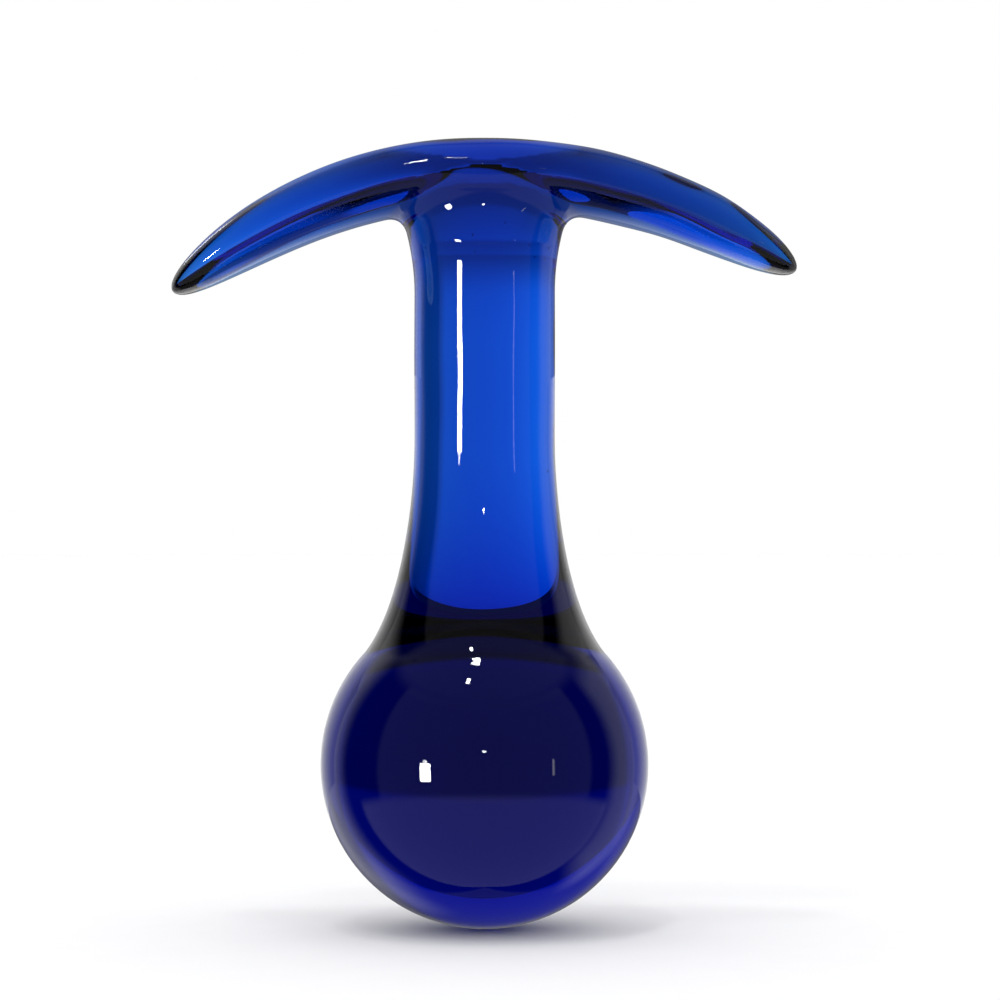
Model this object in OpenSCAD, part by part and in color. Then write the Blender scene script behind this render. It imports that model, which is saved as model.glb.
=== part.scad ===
// A solid glass piece: a ball, a waisted neck and an arched oval crossbar, hot-sealed face to face.
// +Z runs up the neck and X along the crossbar. The origin is the lowest point of the ball.

/* [Overall] */
// Height from the bottom of the ball to the crown of the crossbar
overall_h = 100; // [86:0.5:130]

/* [Ball] */
// Diameter of the ball
ball_d = 41.5; // [34:0.2:50]
// Latitude on the ball, in degrees, of its flat seal with the neck
ball_seal_angle = 42; // [36:1:50]

/* [Neck] */
// Diameter of the neck at its waist
neck_d = 17.8; // [12:0.1:22]
// Height of the flare that runs from the ball up to the waist
ball_flare_h = 27.5; // [18:0.2:30]
// Height of the flare that runs from the waist up to the underside of the crossbar
bar_flare_h = 10.8; // [7:0.2:14]
// How far the upper flare stands out beyond the waist, on the radius
bar_flare_out = 1.9; // [0.5:0.1:3]
// How far below the underside of the crossbar the neck is sealed to it
bar_seal_drop = 4.8; // [3:0.1:6]

/* [Crossbar] */
// Length of the crossbar's spine from tip to tip
bar_span = 78.8; // [60:0.2:100]
// Height of the crossbar at its middle
bar_h = 8.9; // [7:0.1:12]
// Depth of the crossbar at its middle, front to back
bar_depth = 19; // [16:0.2:26]
// How far the left tip hangs below the middle of the bar
left_drop = 15; // [6:0.1:18]
// How far the right tip hangs below the middle of the bar
right_drop = 12.4; // [6:0.1:18]
// How much glass fills the arms out towards their tips, on half their height
tip_fill = 1.5; // [0:0.1:3]

/* [Hidden] */
$fn = 96;

// Seal between ball and neck: a flat disc cut across the ball.
ball_r = ball_d / 2;
ball_seal_z = ball_r * (1 + sin(ball_seal_angle));
ball_seal_r = ball_r * cos(ball_seal_angle);

// Seal between neck and crossbar: a flat disc across the upper flare.
neck_r = neck_d / 2;
bar_under_z = overall_h - bar_h;
bar_seal_z = bar_under_z - bar_seal_drop;
bar_mid_z = overall_h - bar_h / 2;

// The lower flare leaves the ball along its surface and reaches the waist upright. It is
// limited by the room between the ball and the upper flare.
waist_room = bar_under_z - bar_flare_h - ball_seal_z;
lower_flare_h = min(ball_flare_h, waist_room);
leave_pull = 0.165; // how long the curve follows the ball, as a share of its height
waist_pull = 0.51; // how long it runs beside the waist
flare_steps = 24;

// The arms: how sharply they arch, how late they fill out, and how full their oval plan is.
bar_half = bar_span / 2;
arch_power = 2.1;
fill_power = 2.4;
plan_power = 3;
arm_rings = 24;
tip_open = 1.2; // angle, of the 90 that space the rings, left before the tip for a small flat end
ring_sides = 32;
saddle_steps = 8;

// Radius of the upper flare at height z
function upper_flare_r(z) =
    neck_r + bar_flare_out * pow(max(0, z - bar_under_z + bar_flare_h) / bar_flare_h, 2);

// A point on a cubic curve through four control points
function curve_point(a, b, c, d, t) =
    pow(1 - t, 3) * a + 3 * t * pow(1 - t, 2) * b + 3 * t * t * (1 - t) * c + t * t * t * d;

// Outline of the lower flare, from the ball seal up to the waist
function lower_flare() =
    let (start = [ball_seal_r, ball_seal_z], end = [neck_r, ball_seal_z + lower_flare_h],
         leave = lower_flare_h * leave_pull * [-sin(ball_seal_angle), cos(ball_seal_angle)],
         arrive = [0, lower_flare_h * waist_pull])
    [for (i = [0 : flare_steps]) curve_point(start, start + leave, end - arrive, end, i / flare_steps)];

// Outline of the upper flare between two heights
function upper_flare(low, high) =
    [for (i = [0 : flare_steps]) let (z = low + i / flare_steps * (high - low)) [upper_flare_r(z), z]];

// Along an arm, u runs from 0 at the middle of the bar to 1 at the tip. side is -1 for the
// left arm and 1 for the right.
function drop(side) = side < 0 ? left_drop : right_drop;
function spine(side, u) =
    [side * bar_half * u, 0, bar_mid_z - drop(side) * pow(u, arch_power)];
function lean(side, u) = atan(arch_power * drop(side) / bar_half * pow(u, arch_power - 1));
function half_height(u) = (bar_h / 2 + tip_fill * pow(u, fill_power)) * sqrt(1 - u * u);
function half_depth(u) = bar_depth / 2 * pow(1 - pow(u, plan_power), 1 / plan_power);

// An oval ring at a place on the spine, square to it
function ring(side, u) =
    let (across = [side * sin(lean(side, u)), 0, cos(lean(side, u))])
    [for (k = [0 : ring_sides - 1])
        let (turn = k * 360 / ring_sides)
        spine(side, u) + half_height(u) * sin(turn) * across + [0, half_depth(u) * cos(turn), 0]];

// All the rings of one arm, from the middle outwards, closer together towards the round tip
function arm(side) = [for (i = [1 : arm_rings]) ring(side, sin(i * (90 - tip_open) / arm_rings))];

// A closed skin over a row of rings with the same number of points
module skin(rings) {
    sides = len(rings[0]);
    last = len(rings) - 1;
    walls = [for (i = [0 : last - 1], k = [0 : sides - 1])
        let (a = i * sides + k, b = i * sides + (k + 1) % sides)
        each [[a, b + sides, b], [a, a + sides, b + sides]]];
    ends = [[for (k = [0 : sides - 1]) k], [for (k = [sides - 1 : -1 : 0]) last * sides + k]];
    polyhedron([for (r = rings) each r], concat(walls, ends), convexity = 6);
}

// The two tapering arms as one swept bar, from the left tip to the right
module arms() {
    left = arm(-1);
    skin(concat([for (i = [len(left) - 1 : -1 : 0]) left[i]], [ring(1, 0)], arm(1)));
}

// A level oval ring of the saddle
function saddle_ring(z, along, across) =
    [for (k = [0 : $fn - 1]) let (turn = k * 360 / $fn) [along * cos(turn), across * sin(turn), z]];

// The gathered glass under the bar, from the round flat seal up to the middle of the bar. It
// widens only along the bar and draws in to the bar's depth. Its dome rounds a neck that is
// thicker than the bar is deep.
module saddle() {
    seal_r = upper_flare_r(bar_seal_z);
    top_along = upper_flare_r(bar_under_z);
    top_across = 0.95 * bar_depth / 2;
    dome_h = 0.8 * bar_h / 2;
    flare = [for (i = [0 : saddle_steps]) let (rise = i / saddle_steps, z = bar_seal_z + rise * bar_seal_drop)
        saddle_ring(z, upper_flare_r(z), seal_r + rise * (top_across - seal_r))];
    dome = [for (t = [0 : 7.5 : 82.5])
        saddle_ring(bar_mid_z + dome_h * sin(t), top_along * cos(t), top_across * cos(t))];
    skin(concat(flare, dome));
}

module ball() {
    color("midnightblue") difference() {
        translate([0, 0, ball_r]) sphere(r = ball_r);
        translate([-ball_d, -ball_d, ball_seal_z]) cube([2 * ball_d, 2 * ball_d, ball_d]);
    }
}

module neck() {
    color("royalblue") rotate_extrude()
        polygon(concat([[0, ball_seal_z]], lower_flare(),
            upper_flare(bar_under_z - bar_flare_h, bar_seal_z), [[0, bar_seal_z]]));
}

module crossbar() {
    color("mediumblue") union() {
        arms();
        saddle();
    }
}

ball();
neck();
crossbar();
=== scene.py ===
import math

import bmesh
import bpy
import numpy as np
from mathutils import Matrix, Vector


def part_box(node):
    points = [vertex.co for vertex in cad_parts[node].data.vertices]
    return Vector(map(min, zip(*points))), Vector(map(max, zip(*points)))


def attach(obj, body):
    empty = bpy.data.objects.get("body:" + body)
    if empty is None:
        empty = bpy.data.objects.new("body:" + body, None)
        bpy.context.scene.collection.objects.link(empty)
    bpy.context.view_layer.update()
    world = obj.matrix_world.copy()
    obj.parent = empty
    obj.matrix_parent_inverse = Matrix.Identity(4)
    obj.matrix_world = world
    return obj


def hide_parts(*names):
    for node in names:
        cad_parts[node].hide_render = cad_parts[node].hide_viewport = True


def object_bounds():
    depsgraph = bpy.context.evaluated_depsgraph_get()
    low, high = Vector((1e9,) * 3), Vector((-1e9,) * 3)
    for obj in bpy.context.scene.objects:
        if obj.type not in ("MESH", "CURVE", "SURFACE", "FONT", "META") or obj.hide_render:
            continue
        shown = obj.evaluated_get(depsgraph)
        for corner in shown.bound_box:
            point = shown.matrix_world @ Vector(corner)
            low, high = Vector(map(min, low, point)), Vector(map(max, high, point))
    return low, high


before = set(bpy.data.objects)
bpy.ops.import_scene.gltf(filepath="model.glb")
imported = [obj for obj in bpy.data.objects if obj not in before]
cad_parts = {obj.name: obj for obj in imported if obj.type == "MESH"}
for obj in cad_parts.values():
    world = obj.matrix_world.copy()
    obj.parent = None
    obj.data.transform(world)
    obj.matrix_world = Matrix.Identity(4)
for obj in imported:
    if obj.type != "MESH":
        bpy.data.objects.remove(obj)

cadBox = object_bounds()  # the size that the glass has to keep
mm = 0.001
toMm = 1000.0
print("frame loaded:", sorted(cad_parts))


cameraSetup = dict(
    distance=0.45,      # from the middle of the neck
    lens=127.9,
    sensor=36.0,
    height=0.0542,      # the lens looks level, a little above the middle
    aside=0.00196,
    nearest=0.01,
    farthest=50,
)


def placeCamera():
    cameraData = bpy.data.cameras.new("studioCamera")
    cameraData.lens = cameraSetup["lens"]
    cameraData.sensor_width = cameraSetup["sensor"]
    cameraData.clip_start = cameraSetup["nearest"]
    cameraData.clip_end = cameraSetup["farthest"]
    camera = bpy.data.objects.new("studioCamera", cameraData)
    bpy.context.scene.collection.objects.link(camera)
    camera.location = (cameraSetup["aside"], -cameraSetup["distance"], cameraSetup["height"])
    camera.rotation_euler = (math.radians(90), 0, 0)
    bpy.context.scene.camera = camera


placeCamera()
bpy.context.scene.view_settings.view_transform = "Standard"
print("camera placed")


# the form of the glass, as a field that is zero on its surface, in mm
ballLow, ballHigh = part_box("ball")
barLow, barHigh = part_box("crossbar")

ballForm = dict(
    radius=(ballHigh[0] - ballLow[0]) / 2 * toMm,
    sealHeight=ballHigh[2] * toMm,
)

neckForm = dict(
    waistRadius=8.9,
    ballFlareHeight=27.5,
    leavePull=0.165,    # how long the flare follows the ball, as a share of its height
    waistPull=0.51,     # how long it runs beside the waist
    barFlareHeight=10.8,
    barFlareOut=1.9,
    barSealHeight=86.3,
    drawnIn=0.95,       # how deep the neck is under the bar, as a share of the bar's depth
)

barForm = dict(
    crown=barHigh[2] * toMm,
    middleHeight=8.9,
    halfSpan=39.4,
    halfDepth=(barHigh[1] - barLow[1]) / 2 * toMm,
    leftDrop=15.0,
    rightDrop=12.4,
    tipFill=1.5,
    archPower=2.1,
    fillPower=2.4,
    planPower=3.0,
    blend=2.4,          # how softly the neck runs into the underside
)


def flareTable():
    # height and radius along the lower flare, which leaves the ball along its surface
    angle = math.asin((ballForm["sealHeight"] - ballForm["radius"]) / ballForm["radius"])
    height = neckForm["ballFlareHeight"]
    start = np.array([ballForm["radius"] * math.cos(angle), ballForm["sealHeight"]])
    end = np.array([neckForm["waistRadius"], ballForm["sealHeight"] + height])
    leave = start + height * neckForm["leavePull"] * np.array([-math.sin(angle), math.cos(angle)])
    arrive = end - np.array([0, height * neckForm["waistPull"]])
    t = np.linspace(0, 1, 3000)[:, None]
    curve = (1 - t) ** 3 * start + 3 * t * (1 - t) ** 2 * leave + 3 * t * t * (1 - t) * arrive + t ** 3 * end
    return curve[:, 1], curve[:, 0]


flareHeights, flareRadii = flareTable()


def neckRadius(z):
    underside = barForm["crown"] - barForm["middleHeight"]
    share = np.clip((z - underside) / neckForm["barFlareHeight"] + 1, 0, 1.15)
    return np.interp(z, flareHeights, flareRadii) + neckForm["barFlareOut"] * share ** 2


def ballAndNeckField(p):
    rho = np.hypot(p[:, 0], p[:, 1])
    z = p[:, 2]
    ball = np.hypot(rho, z - ballForm["radius"]) - ballForm["radius"]
    slope = (neckRadius(z + 0.05) - neckRadius(z - 0.05)) / 0.1
    # towards the bar the neck widens only along it, and draws in to the bar's depth
    sealRadius = neckRadius(neckForm["barSealHeight"])
    drawnIn = neckForm["drawnIn"] * barForm["halfDepth"] - sealRadius
    underside = barForm["crown"] - barForm["middleHeight"]
    rise = (z - neckForm["barSealHeight"]) / (underside - neckForm["barSealHeight"])
    front = sealRadius + drawnIn * np.clip(rise, 0, 1)
    rho = np.hypot(p[:, 0], p[:, 1] * np.where(rise > 0, neckRadius(z) / front, 1))
    neck = (rho - neckRadius(z)) / np.sqrt(1 + slope ** 2)
    neck = np.maximum(neck, z - barForm["crown"] + barForm["middleHeight"] / 2)
    return np.where(z < ballForm["sealHeight"], ball, neck)


def armSpine(u, drop):
    # how far the arm hangs down at u, and how steeply
    power = barForm["archPower"]
    return drop * u ** power, -drop * power * u ** (power - 1) / barForm["halfSpan"]


def crossbarField(p):
    half = barForm["halfSpan"]
    drop = np.where(p[:, 0] < 0, barForm["leftDrop"], barForm["rightDrop"])
    middle = barForm["crown"] - barForm["middleHeight"] / 2
    u = np.clip(np.abs(p[:, 0]) / half, 0, 1)
    for _ in range(6):  # walk to the foot of the point on the arm's spine
        sag, slope = armSpine(u, drop)
        off = (u * half - np.abs(p[:, 0])) + (middle - sag - p[:, 2]) * slope
        u = np.clip(u - off / (1 + slope ** 2) / half, 0, 1)
    sag, slope = armSpine(u, drop)
    lean = np.sqrt(1 + slope ** 2)
    awayX = np.abs(p[:, 0]) - u * half
    awayZ = p[:, 2] - (middle - sag)
    across = (awayZ - slope * awayX) / lean
    along = (awayX + slope * awayZ) / lean
    reach = np.maximum(u * half + np.where(u >= 1, along, 0), 0) / half
    thick = barForm["middleHeight"] / 2 + barForm["tipFill"] * np.minimum(reach, 1) ** barForm["fillPower"]
    deep = barForm["halfDepth"]
    power = barForm["planPower"]
    plan = (reach ** power + (np.abs(p[:, 1]) / deep) ** power) ** (1 / power)
    q = np.sqrt((across / thick) ** 2 + plan ** 2) + 1e-6
    steep = np.sqrt((across / thick ** 2) ** 2 + (p[:, 1] / deep ** 2) ** 2 + (reach / half) ** 2) / q
    return (q - 1) / np.maximum(steep, 1e-3)


def smoothUnion(a, b, width):
    share = np.clip(width - np.abs(a - b), 0, None) / width
    return np.minimum(a, b) - share ** 2 * width / 4


# slow waves that a flame leaves in the surface, in mm: strongest on the worked bar and neck
rippleForm = dict(
    seed=11,
    waves=14,
    shortest=7.0,
    longest=26.0,
    onBall=0.004,
    onNeck=0.020,
    onBar=0.030,
    ballToNeck=12.0,    # length of the change between them
    barFrom=78.0,
    neckToBar=8.0,
)


def rippleWaves():
    chance = np.random.default_rng(rippleForm["seed"])
    directions = chance.normal(size=(rippleForm["waves"], 3))
    directions /= np.linalg.norm(directions, axis=1)[:, None]
    lengths = chance.uniform(rippleForm["shortest"], rippleForm["longest"], rippleForm["waves"])
    return directions * (2 * math.pi / lengths)[:, None], chance.uniform(0, 2 * math.pi, rippleForm["waves"])


waveVectors, wavePhases = rippleWaves()


def rippleField(p):
    waves = np.sin(p @ waveVectors.T + wavePhases).sum(axis=1) / math.sqrt(rippleForm["waves"] / 2)
    z = p[:, 2]
    toNeck = np.clip((z - ballForm["sealHeight"]) / rippleForm["ballToNeck"] + 0.5, 0, 1)
    toBar = np.clip((z - rippleForm["barFrom"]) / rippleForm["neckToBar"], 0, 1)
    strength = rippleForm["onBall"] + (rippleForm["onNeck"] - rippleForm["onBall"]) * toNeck
    strength = strength + (rippleForm["onBar"] - rippleForm["onNeck"]) * toBar
    return waves * strength


def glassField(p):
    body = smoothUnion(ballAndNeckField(p), crossbarField(p), barForm["blend"])
    return body + rippleField(p)


def fieldSlope(p, step):
    slope = np.empty_like(p)
    for axis in range(3):
        shift = np.zeros(3)
        shift[axis] = step
        slope[:, axis] = (glassField(p + shift) - glassField(p - shift)) / (2 * step)
    return slope


skinForm = dict(
    voxel=0.00048,
    settleSteps=5,      # moves of each point onto the surface
    settleReach=0.02,
    longestMove=0.8,
    normalReach=0.12,
    bubbleStretch=1.25,
)

# seed bubbles caught mostly where the neck was sealed on: place and radius in mm
seedBubbles = [
    ((-1.2, -4.0, 87.2), 0.13),
    ((-1.0, -5.2, 85.4), 0.10),
    ((4.7, -3.6, 86.4), 0.12),
    ((7.3, -3.0, 86.0), 0.14),
    ((6.9, -3.4, 84.6), 0.09),
    ((7.6, -3.6, 57.8), 0.12),
    ((2.0, -2.0, 88.8), 0.10),
    ((-4.4, 2.6, 86.9), 0.11),
    ((3.1, 4.4, 85.6), 0.10),
]


def roughCasting():
    # the three sealed solids drawn into one closed skin
    bm = bmesh.new()
    for name in ("ball", "neck", "crossbar"):
        bm.from_mesh(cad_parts[name].data)
    rough = bpy.data.meshes.new("roughCasting")
    bm.to_mesh(rough)
    bm.free()
    casting = bpy.data.objects.new("roughCasting", rough)
    bpy.context.scene.collection.objects.link(casting)
    remesh = casting.modifiers.new("draw together", "REMESH")
    remesh.mode = "VOXEL"
    remesh.voxel_size = skinForm["voxel"]
    evaluated = casting.evaluated_get(bpy.context.evaluated_depsgraph_get())
    skin = bpy.data.meshes.new_from_object(evaluated)
    bpy.data.objects.remove(casting)
    bpy.data.meshes.remove(rough)
    return skin


def addBubbles(skin, normals):
    bm = bmesh.new()
    bm.from_mesh(skin)
    for place, radius in seedBubbles:
        centre = Vector(place) * mm
        made = bmesh.ops.create_icosphere(bm, subdivisions=3, radius=radius * mm)
        for vert in made["verts"]:
            normals.append((-vert.co.normalized())[:])
            vert.co.z *= skinForm["bubbleStretch"]
            vert.co += centre
        faces = {face for vert in made["verts"] for face in vert.link_faces}
        bmesh.ops.reverse_faces(bm, faces=list(faces))
    bm.to_mesh(skin)
    bm.free()
    return normals


def castGlass(material):
    skin = roughCasting()
    places = np.empty(len(skin.vertices) * 3)
    skin.vertices.foreach_get("co", places)
    places = places.reshape(-1, 3) * toMm
    for _ in range(skinForm["settleSteps"]):
        slope = fieldSlope(places, skinForm["settleReach"])
        steep = np.maximum((slope ** 2).sum(axis=1), 0.05)
        move = slope * (glassField(places) / steep)[:, None]
        length = np.linalg.norm(move, axis=1)[:, None]
        places -= move * np.minimum(1, skinForm["longestMove"] / np.maximum(length, 1e-9))
    slope = fieldSlope(places, skinForm["normalReach"])
    normals = [tuple(n) for n in slope / np.linalg.norm(slope, axis=1)[:, None]]
    skin.vertices.foreach_set("co", (places * mm).ravel())
    skin.update()
    normals = addBubbles(skin, normals)
    skin.polygons.foreach_set("use_smooth", [True] * len(skin.polygons))
    skin.normals_split_custom_set_from_vertices(normals)
    skin.materials.clear()
    skin.materials.append(material)
    glass = bpy.data.objects.new("fusedGlass", skin)
    bpy.context.scene.collection.objects.link(glass)
    print("glass skin:", len(skin.vertices), "points, off by",
          round(float(np.abs(glassField(places)).max()), 4), "mm")
    return glass


cobaltGlass = dict(
    ior=1.51,
    density=360.0,                      # per metre
    colour=(0.028, 0.547, 0.889),       # what the thickness keeps of red, green and blue
    gatherTint=(0.52, 0.50, 0.76),      # denser colour where the neck was gathered into the bar
    gatherCentre=(0.0, 0.0, 0.096),
    gatherReach=(0.006, 0.024),
    smudgeScale=55.0,
    smudgeDetail=5,
    smudgeFrom=(0.5, 0.8),
    roughness=(0.0, 0.02),              # clean, and under a smudge
    striaeScale=90.0,
    striaeDetail=3,
    striaeDistortion=1.2,
    striaeTint=(0.90, 0.94, 1.0),
)


def makeCobaltGlass():
    material = bpy.data.materials.new("cobaltGlass")
    material.use_nodes = True
    tree = material.node_tree
    nodes, links = tree.nodes, tree.links
    nodes.clear()
    output = nodes.new("ShaderNodeOutputMaterial")
    glass = nodes.new("ShaderNodeBsdfPrincipled")
    glass.inputs["Transmission Weight"].default_value = 1.0
    glass.inputs["IOR"].default_value = cobaltGlass["ior"]
    links.new(glass.outputs["BSDF"], output.inputs["Surface"])

    thickness = nodes.new("ShaderNodeVolumeAbsorption")
    thickness.inputs["Color"].default_value = (*cobaltGlass["colour"], 1)
    thickness.inputs["Density"].default_value = cobaltGlass["density"]
    links.new(thickness.outputs["Volume"], output.inputs["Volume"])

    where = nodes.new("ShaderNodeTexCoord")
    smudge = nodes.new("ShaderNodeTexNoise")
    smudge.inputs["Scale"].default_value = cobaltGlass["smudgeScale"]
    smudge.inputs["Detail"].default_value = cobaltGlass["smudgeDetail"]
    links.new(where.outputs["Object"], smudge.inputs["Vector"])
    polish = nodes.new("ShaderNodeMapRange")
    polish.inputs["From Min"].default_value = cobaltGlass["smudgeFrom"][0]
    polish.inputs["From Max"].default_value = cobaltGlass["smudgeFrom"][1]
    polish.inputs["To Min"].default_value = cobaltGlass["roughness"][0]
    polish.inputs["To Max"].default_value = cobaltGlass["roughness"][1]
    links.new(smudge.outputs["Fac"], polish.inputs["Value"])
    links.new(polish.outputs["Result"], glass.inputs["Roughness"])

    striae = nodes.new("ShaderNodeTexNoise")
    striae.inputs["Scale"].default_value = cobaltGlass["striaeScale"]
    striae.inputs["Detail"].default_value = cobaltGlass["striaeDetail"]
    striae.inputs["Distortion"].default_value = cobaltGlass["striaeDistortion"]
    links.new(where.outputs["Object"], striae.inputs["Vector"])
    tint = nodes.new("ShaderNodeValToRGB")
    tint.color_ramp.elements[0].position = 0.3
    tint.color_ramp.elements[0].color = (*cobaltGlass["striaeTint"], 1)
    tint.color_ramp.elements[1].position = 0.7
    tint.color_ramp.elements[1].color = (1.0, 1.0, 1.0, 1)
    links.new(striae.outputs["Fac"], tint.inputs["Fac"])
    # more cobalt in the gathered middle of the bar, fading out along the arms
    offset = nodes.new("ShaderNodeVectorMath")
    offset.operation = "DISTANCE"
    offset.inputs[1].default_value = cobaltGlass["gatherCentre"]
    links.new(where.outputs["Object"], offset.inputs[0])
    fade = nodes.new("ShaderNodeMapRange")
    fade.interpolation_type = "SMOOTHSTEP"
    fade.inputs["From Min"].default_value = cobaltGlass["gatherReach"][1]
    fade.inputs["From Max"].default_value = cobaltGlass["gatherReach"][0]
    links.new(offset.outputs["Value"], fade.inputs["Value"])
    gather = nodes.new("ShaderNodeMix")
    gather.data_type = "RGBA"
    links.new(fade.outputs["Result"], gather.inputs["Factor"])
    links.new(tint.outputs["Color"], gather.inputs[6])
    gather.inputs[7].default_value = (*cobaltGlass["gatherTint"], 1)
    links.new(gather.outputs[2], glass.inputs["Base Color"])
    return material


glass = castGlass(makeCobaltGlass())
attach(glass, "root")
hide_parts("ball", "neck", "crossbar")
print("glass cast")


floorSetup = dict(
    radius=3.0,
    below=0.0001,       # a hair under the glass
    colour=(0.94, 0.94, 0.95),
    grain=0.02,
    grainScale=900,
    roughness=0.9,
)


def layFloor():
    bm = bmesh.new()
    bmesh.ops.create_circle(bm, cap_ends=True, segments=96, radius=floorSetup["radius"])
    mesh = bpy.data.meshes.new("studioFloor")
    bm.to_mesh(mesh)
    bm.free()
    floor = bpy.data.objects.new("studioFloor", mesh)
    bpy.context.scene.collection.objects.link(floor)
    floor.location.z = cadBox[0][2] - floorSetup["below"]
    floor.visible_transmission = False
    floor.visible_glossy = False
    paper = bpy.data.materials.new("whitePaper")
    paper.use_nodes = True
    nodes, links = paper.node_tree.nodes, paper.node_tree.links
    surface = nodes["Principled BSDF"]
    surface.inputs["Roughness"].default_value = floorSetup["roughness"]
    surface.inputs["Specular IOR Level"].default_value = 0.1
    fibres = nodes.new("ShaderNodeTexNoise")
    fibres.inputs["Scale"].default_value = floorSetup["grainScale"]
    fibres.inputs["Detail"].default_value = 4
    shade = nodes.new("ShaderNodeValToRGB")
    low = [c - floorSetup["grain"] for c in floorSetup["colour"]]
    shade.color_ramp.elements[0].color = (*low, 1)
    shade.color_ramp.elements[1].color = (*floorSetup["colour"], 1)
    links.new(fibres.outputs["Fac"], shade.inputs["Fac"])
    links.new(shade.outputs["Color"], surface.inputs["Base Color"])
    mesh.materials.append(paper)


layFloor()
print("floor laid")


# Soft panels and lamps as areas of the surroundings. azimuth runs from 0 behind the glass,
# through 90 on the right, to 180 at the camera; height is degrees above the level.
# through is what shows through the glass, mirrored is what its surface reflects.
studioAreas = [
    dict(name="shadow under the glass", azimuth=(-52, 52), height=(-90, -32),
         soft=5, through=0.10, mirrored=0.10),
    dict(name="table behind", azimuth=(-52, 52), height=(-32, 3.5), soft=1.2, through=0.28, mirrored=0.0),
    dict(name="backdrop", azimuth=(-52, 52), height=(3.5, 46), soft=1.2, through=0.55, mirrored=0.0),
    dict(name="ceiling", azimuth=(-180, 180), height=(46, 90), soft=5, through=0.10, mirrored=0.14),
    dict(name="left wall", azimuth=(-125, -52), height=(-60, 46), soft=7, through=1.0, mirrored=0.0),
    dict(name="right wall", azimuth=(52, 125), height=(-60, 46), soft=7, through=0.80, mirrored=0.0),
    dict(name="left glow", azimuth=(-57, -22), height=(-48, 40), soft=13, through=0.0, mirrored=0.66),
    dict(name="right glow", azimuth=(42, 78), height=(-48, 40), soft=8, through=0.0, mirrored=0.45),
    dict(name="window behind left", azimuth=(-32, -28), height=(19, 31), soft=1.5, through=0.0, mirrored=4.0),
    dict(name="backdrop sheen", azimuth=(-30, 46), height=(-30, 40), soft=8, through=0.0, mirrored=0.22),
    dict(name="room at the camera", azimuth=(100, 260), height=(-18, 46), soft=3, through=0.7, mirrored=0.12),
    dict(name="table at the camera", azimuth=(80, 280), height=(-90, -18),
         soft=3, through=0.5, mirrored=0.33),
    dict(name="tall window", azimuth=(217.5, 225), height=(-8, 3.4), soft=0.5, through=0, mirrored=60),
    dict(name="head of the window", azimuth=(220, 223), height=(3.4, 5.4), soft=0.5, through=0, mirrored=20),
    dict(name="strip light", azimuth=(130, 131.5), height=(-4, 6), soft=0.5, through=0, mirrored=2.5),
    dict(name="lamp at the camera", azimuth=(178.8, 181.2), height=(12.4, 13.3),
         soft=0.4, through=0, mirrored=60),
    dict(name="ceiling lamp", azimuth=(198, 203), height=(61, 65), soft=0.6, through=0, mirrored=60),
    dict(name="second ceiling lamp", azimuth=(190, 214), height=(77, 81), soft=1, through=0, mirrored=40),
]

plainLight = dict(seen=1.0, onFloor=1.06)


def joinMath(tree, operation, a, b):
    node = tree.nodes.new("ShaderNodeMath")
    node.operation = operation
    for socket, value in zip(node.inputs, (a, b)):
        if isinstance(value, (int, float)):
            socket.default_value = value
        else:
            tree.links.new(value, socket)
    return node.outputs[0]


def ramp(tree, value, start, end):
    node = tree.nodes.new("ShaderNodeMapRange")
    node.interpolation_type = "SMOOTHSTEP"
    node.inputs["From Min"].default_value = start
    node.inputs["From Max"].default_value = end
    tree.links.new(value, node.inputs["Value"])
    return node.outputs["Result"]


def band(tree, value, low, high, soft):
    rising = ramp(tree, value, low - soft, low + soft)
    falling = ramp(tree, value, high + soft, high - soft)
    return joinMath(tree, "MULTIPLY", rising, falling)


def heightShare(tree, height, area):
    low, high = area["height"]
    soft = area["soft"]
    if low <= -90:
        return ramp(tree, height, high + soft, high - soft)
    if high >= 90:
        return ramp(tree, height, low - soft, low + soft)
    return band(tree, height, low, high, soft)


def turnOf(tree, across, away, start):
    # the azimuth in degrees, counted from start
    turn = joinMath(tree, "MULTIPLY", joinMath(tree, "ARCTAN2", across, away), 180 / math.pi)
    return joinMath(tree, "ADD", turn, start)


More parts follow.
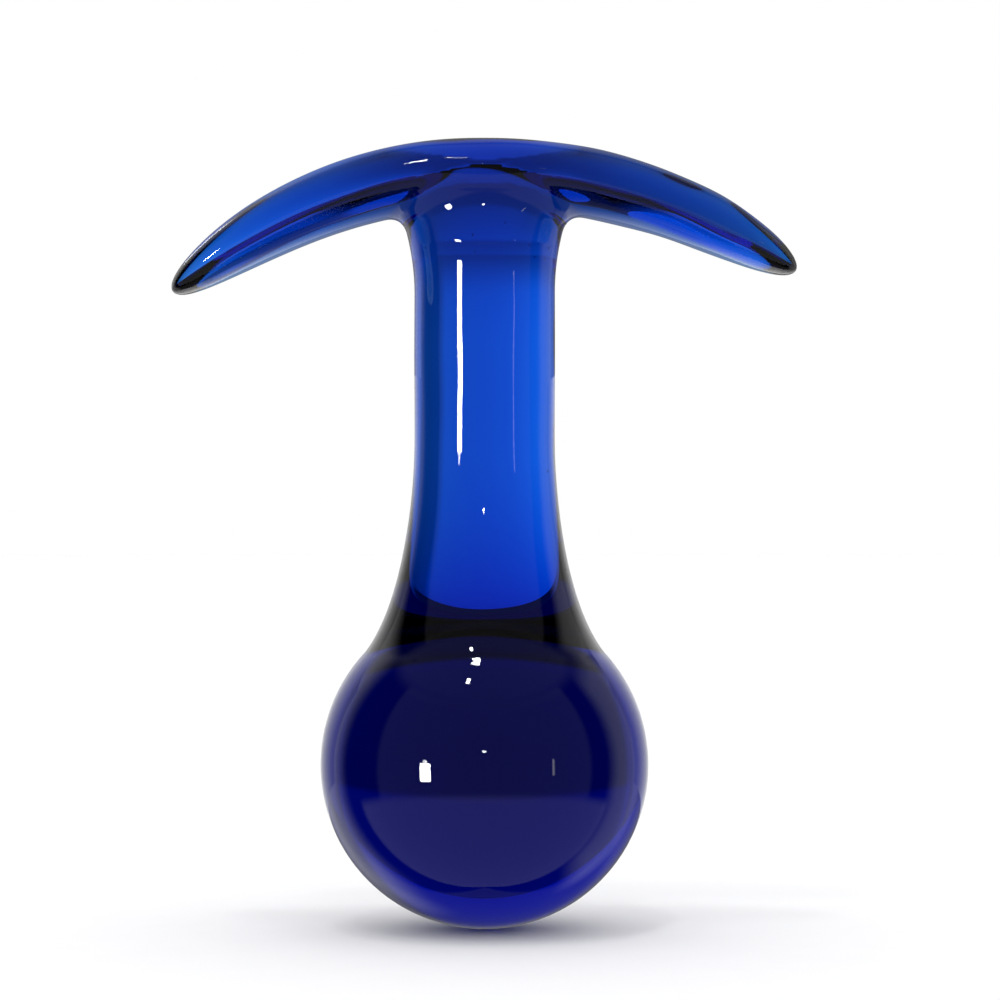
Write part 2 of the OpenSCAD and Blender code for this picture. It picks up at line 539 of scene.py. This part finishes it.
def lightStudio():
    world = bpy.data.worlds.new("studio")
    bpy.context.scene.world = world
    world.use_nodes = True
    tree = world.node_tree
    tree.nodes.clear()
    direction = tree.nodes.new("ShaderNodeTexCoord")
    split = tree.nodes.new("ShaderNodeSeparateXYZ")
    tree.links.new(direction.outputs["Generated"], split.inputs[0])
    across, away, up = split.outputs
    height = joinMath(tree, "MULTIPLY", joinMath(tree, "ARCSINE", up, 0), 180 / math.pi)
    # two turns of the azimuth, so that an area may lie across its seam at the camera or behind
    fromBehind = turnOf(tree, across, away, 0)
    turnedAcross = joinMath(tree, "MULTIPLY", across, -1)
    turnedAway = joinMath(tree, "MULTIPLY", away, -1)
    fromCamera = turnOf(tree, turnedAcross, turnedAway, 180)
    through, mirrored = 0.0, 0.0
    for area in studioAreas:
        left, right = area["azimuth"]
        share = heightShare(tree, height, area)
        if right - left < 360:
            azimuth = fromCamera if right > 180 or left > 90 else fromBehind
            share = joinMath(tree, "MULTIPLY", share, band(tree, azimuth, left, right, area["soft"]))
        through = joinMath(tree, "ADD", through, joinMath(tree, "MULTIPLY", share, area["through"]))
        mirrored = joinMath(tree, "ADD", mirrored, joinMath(tree, "MULTIPLY", share, area["mirrored"]))
    path = tree.nodes.new("ShaderNodeLightPath")
    strength = tree.nodes.new("ShaderNodeMix")
    tree.links.new(path.outputs["Is Transmission Ray"], strength.inputs["Factor"])
    tree.links.new(mirrored, strength.inputs["A"])
    tree.links.new(through, strength.inputs["B"])
    studio = strength.outputs["Result"]
    for seen, level in (("Is Diffuse Ray", plainLight["onFloor"]), ("Is Camera Ray", plainLight["seen"])):
        choose = tree.nodes.new("ShaderNodeMix")
        tree.links.new(path.outputs[seen], choose.inputs["Factor"])
        tree.links.new(studio, choose.inputs["A"])
        choose.inputs["B"].default_value = level
        studio = choose.outputs["Result"]
    light = tree.nodes.new("ShaderNodeBackground")
    light.inputs["Color"].default_value = (1, 1, 1, 1)
    tree.links.new(studio, light.inputs["Strength"])
    output = tree.nodes.new("ShaderNodeOutputWorld")
    tree.links.new(light.outputs["Background"], output.inputs["Surface"])


lightStudio()
print("studio lit")


# Lit sheets of paper close behind the glass. One shows only through it, the other only in its surface.
# shades are brightness at places across the sheet, from left to right, and upperShades take over higher up.
paperSheets = [
    dict(name="sheet behind the glass", behind=0.032, low=0.024, high=0.180, seenBy="transmission",
         shades=((-0.040, 1.24), (-0.015, 1.48), (0.0, 1.19), (0.0085, 1.06), (0.0115, 0.5), (0.018, 0.42),
                 (0.028, 0.49), (0.034, 1.0)),
         upperShades=((-0.040, 0.95), (-0.018, 0.7), (-0.008, 0.42), (0.008, 0.42), (0.018, 0.65),
                      (0.040, 0.95)),
         turnsAt=(0.080, 0.097)),
    dict(name="sheet on the table", behind=0.060, low=0.004, high=0.072, seenBy="glossy",
         shades=((-0.085, 0.35), (-0.035, 0.95), (-0.012, 0.4), (0.0, 0.1), (0.012, 0.4), (0.035, 0.95),
                 (0.085, 0.35))),
]
sheetHalfWidth = 0.10
sheetCuts = 3


def shadeAcross(tree, across, shades):
    # straight steps between the given brightnesses
    value = shades[0][1]
    for (start, low), (end, high) in zip(shades, shades[1:]):
        step = tree.nodes.new("ShaderNodeMapRange")
        step.inputs["From Min"].default_value = start
        step.inputs["From Max"].default_value = end
        step.inputs["To Min"].default_value = 0
        step.inputs["To Max"].default_value = high - low
        tree.links.new(across, step.inputs["Value"])
        value = joinMath(tree, "ADD", value, step.outputs["Result"])
    return value


def hangPaperSheet(setup):
    bm = bmesh.new()
    w, y = sheetHalfWidth, setup["behind"]
    corners = [(-w, y, setup["low"]), (w, y, setup["low"]), (w, y, setup["high"]), (-w, y, setup["high"])]
    bm.faces.new([bm.verts.new(c) for c in corners])
    bmesh.ops.subdivide_edges(bm, edges=bm.edges[:], cuts=sheetCuts, use_grid_fill=True)
    mesh = bpy.data.meshes.new(setup["name"])
    bm.to_mesh(mesh)
    bm.free()
    sheet = bpy.data.objects.new(setup["name"].replace(" ", "_"), mesh)
    bpy.context.scene.collection.objects.link(sheet)
    for kind in ("camera", "diffuse", "glossy", "transmission", "shadow", "volume_scatter"):
        setattr(sheet, "visible_" + kind, kind == setup["seenBy"])
    paper = bpy.data.materials.new("litPaper")
    paper.use_nodes = True
    tree = paper.node_tree
    tree.nodes.clear()
    where = tree.nodes.new("ShaderNodeTexCoord")
    split = tree.nodes.new("ShaderNodeSeparateXYZ")
    tree.links.new(where.outputs["Object"], split.inputs[0])
    shade = shadeAcross(tree, split.outputs[0], setup["shades"])
    if "upperShades" in setup:
        turn = tree.nodes.new("ShaderNodeMix")
        tree.links.new(ramp(tree, split.outputs[2], *setup["turnsAt"]), turn.inputs["Factor"])
        tree.links.new(shade, turn.inputs["A"])
        tree.links.new(shadeAcross(tree, split.outputs[0], setup["upperShades"]), turn.inputs["B"])
        shade = turn.outputs["Result"]
    glow = tree.nodes.new("ShaderNodeEmission")
    tree.links.new(shade, glow.inputs["Strength"])
    output = tree.nodes.new("ShaderNodeOutputMaterial")
    tree.links.new(glow.outputs["Emission"], output.inputs["Surface"])
    mesh.materials.append(paper)


for setup in paperSheets:
    hangPaperSheet(setup)
print("paper hung")
